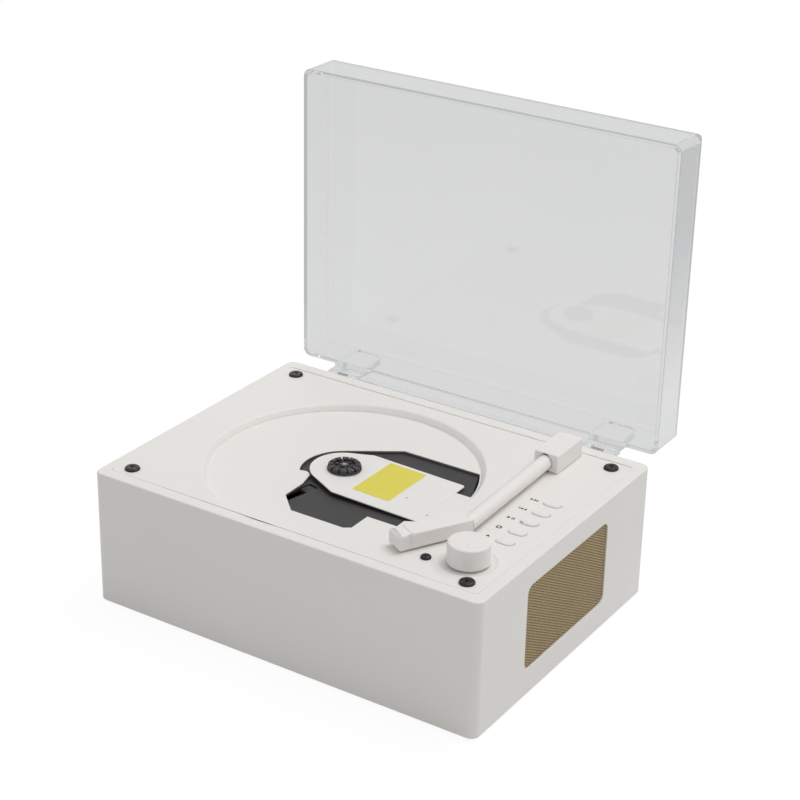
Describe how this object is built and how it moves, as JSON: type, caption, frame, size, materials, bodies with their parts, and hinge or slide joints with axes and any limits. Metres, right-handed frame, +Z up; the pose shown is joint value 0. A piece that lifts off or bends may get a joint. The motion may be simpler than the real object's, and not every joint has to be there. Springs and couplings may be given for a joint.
{
  "type": "compact disc player",
  "caption": "Box-shaped compact disc player with an open disc well, tone-arm lever, volume knob, side speaker and clear hinged dust lid.",
  "frame": {"origin": "middle of the underside of the case, midway between the two keyholes", "axes": "+X to the speaker side, +Y to the hinges, +Z up out of the deck"},
  "size_m": [0.2, 0.1801, 0.2134],
  "materials": {
    "white_plastic": "satin moulded",
    "white_cover": "satin moulded",
    "clear_plastic": "clear polished",
    "black_plastic": "fine moulded grain",
    "dark_chassis": "matte black",
    "grille_brass": "satin woven mesh",
    "black_screw": "black oxide",
    "steel": "machined",
    "motor_can": "drawn can",
    "sticker": "printed film",
    "rubber": "matte",
    "board_green": "solder mask",
    "cone_paper": "pressed paper",
    "lens": "coated lens"
  },
  "bodies": {
    "player": {"case_body": "white_plastic", "deck_panel": "white_plastic", "deck_screws": "black_screw", "rest_screw": "black_screw", "rubber_feet": "rubber", "speaker_grille": "grille_brass", "speaker_basket": "steel", "speaker_cone": "cone_paper", "speaker_magnet": "motor_can", "speaker_screws": "steel", "hinge_brackets": "steel", "hinge_bracket_screws": "steel", "hinge_pins": "steel", "mechanism_chassis": "dark_chassis", "chassis_dampers": "rubber", "chassis_screws": "steel", "pickup_cover": "white_cover", "cover_label": "sticker", "spindle_motor": "motor_can", "guide_rods": "steel", "feed_motor": "motor_can", "button_board": "board_green", "button_board_screws": "steel", "tact_switches": "black_plastic", "volume_pot": "steel", "main_board": "board_green", "board_parts": "black_plastic", "board_screws": "steel", "power_socket": "black_plastic", "audio_socket": "black_plastic"},
    "lid": {"dust_lid": "clear_plastic"},
    "knob": {"volume_knob": "white_cover", "pot_shaft": "steel"},
    "button_1": {"first_button": "white_cover"},
    "button_2": {"second_button": "white_cover"},
    "button_3": {"third_button": "white_cover"},
    "button_4": {"fourth_button": "white_cover"},
    "button_5": {"fifth_button": "white_cover"},
    "spindle": {"disc_hub": "black_plastic", "turntable": "white_cover", "spindle_shaft": "steel"},
    "pickup": {"pickup_sled": "black_plastic", "objective_lens": "lens"},
    "feed": {"feed_screw": "steel"},
    "arm": {"tone_arm": "white_cover", "arm_block": "white_cover", "arm_post": "steel", "arm_clip": "steel"}
  },
  "joints": [
    {"name": "lid_hinge", "type": "hinge", "parent": "player", "child": "lid", "pos_m": [0, 0.0784, 0.0604], "axis": [1, 0, 0], "range_deg": [0, 90]},
    {"name": "knob_turn", "type": "hinge", "parent": "player", "child": "knob", "pos_m": [0.0784, -0.0481, 0.065], "axis": [0, 0, -1], "range_deg": [0, 300]},
    {"name": "button_1_press", "type": "slide", "parent": "player", "child": "button_1", "axis": [0, 0, -1], "range_m": [0, 0.0008], "stiffness_N_per_m": 800, "springref_m": -0.0003},
    {"name": "button_2_press", "type": "slide", "parent": "player", "child": "button_2", "axis": [0, 0, -1], "range_m": [0, 0.0008], "stiffness_N_per_m": 800, "springref_m": -0.0003},
    {"name": "button_3_press", "type": "slide", "parent": "player", "child": "button_3", "axis": [0, 0, -1], "range_m": [0, 0.0008], "stiffness_N_per_m": 800, "springref_m": -0.0003},
    {"name": "button_4_press", "type": "slide", "parent": "player", "child": "button_4", "axis": [0, 0, -1], "range_m": [0, 0.0008], "stiffness_N_per_m": 800, "springref_m": -0.0003},
    {"name": "button_5_press", "type": "slide", "parent": "player", "child": "button_5", "axis": [0, 0, -1], "range_m": [0, 0.0008], "stiffness_N_per_m": 800, "springref_m": -0.0003},
    {"name": "spindle_turn", "type": "hinge", "parent": "player", "child": "spindle", "pos_m": [-0.0128, -0.0052, 0.0639], "axis": [0, 0, 1], "continuous": true},
    {"name": "pickup_slide", "type": "slide", "parent": "player", "child": "pickup", "axis": [-0.2334, -0.9724, 0], "range_m": [0, 0.036]},
    {"name": "feed_turn", "type": "hinge", "parent": "player", "child": "feed", "pos_m": [-0.03303, -0.00034, 0.0535], "axis": [-0.2334, -0.9724, 0], "range_deg": [0, 2162]},
    {"name": "arm_swing", "type": "hinge", "parent": "player", "child": "arm", "pos_m": [0.0641, 0.0527, 0.0653], "axis": [0, 0, -1], "range_deg": [0, 22]}
  ],
  "couplings": [
    {"joint": "feed_turn", "follows": "pickup_slide", "rad_per_m": 1047.2}
  ]
}
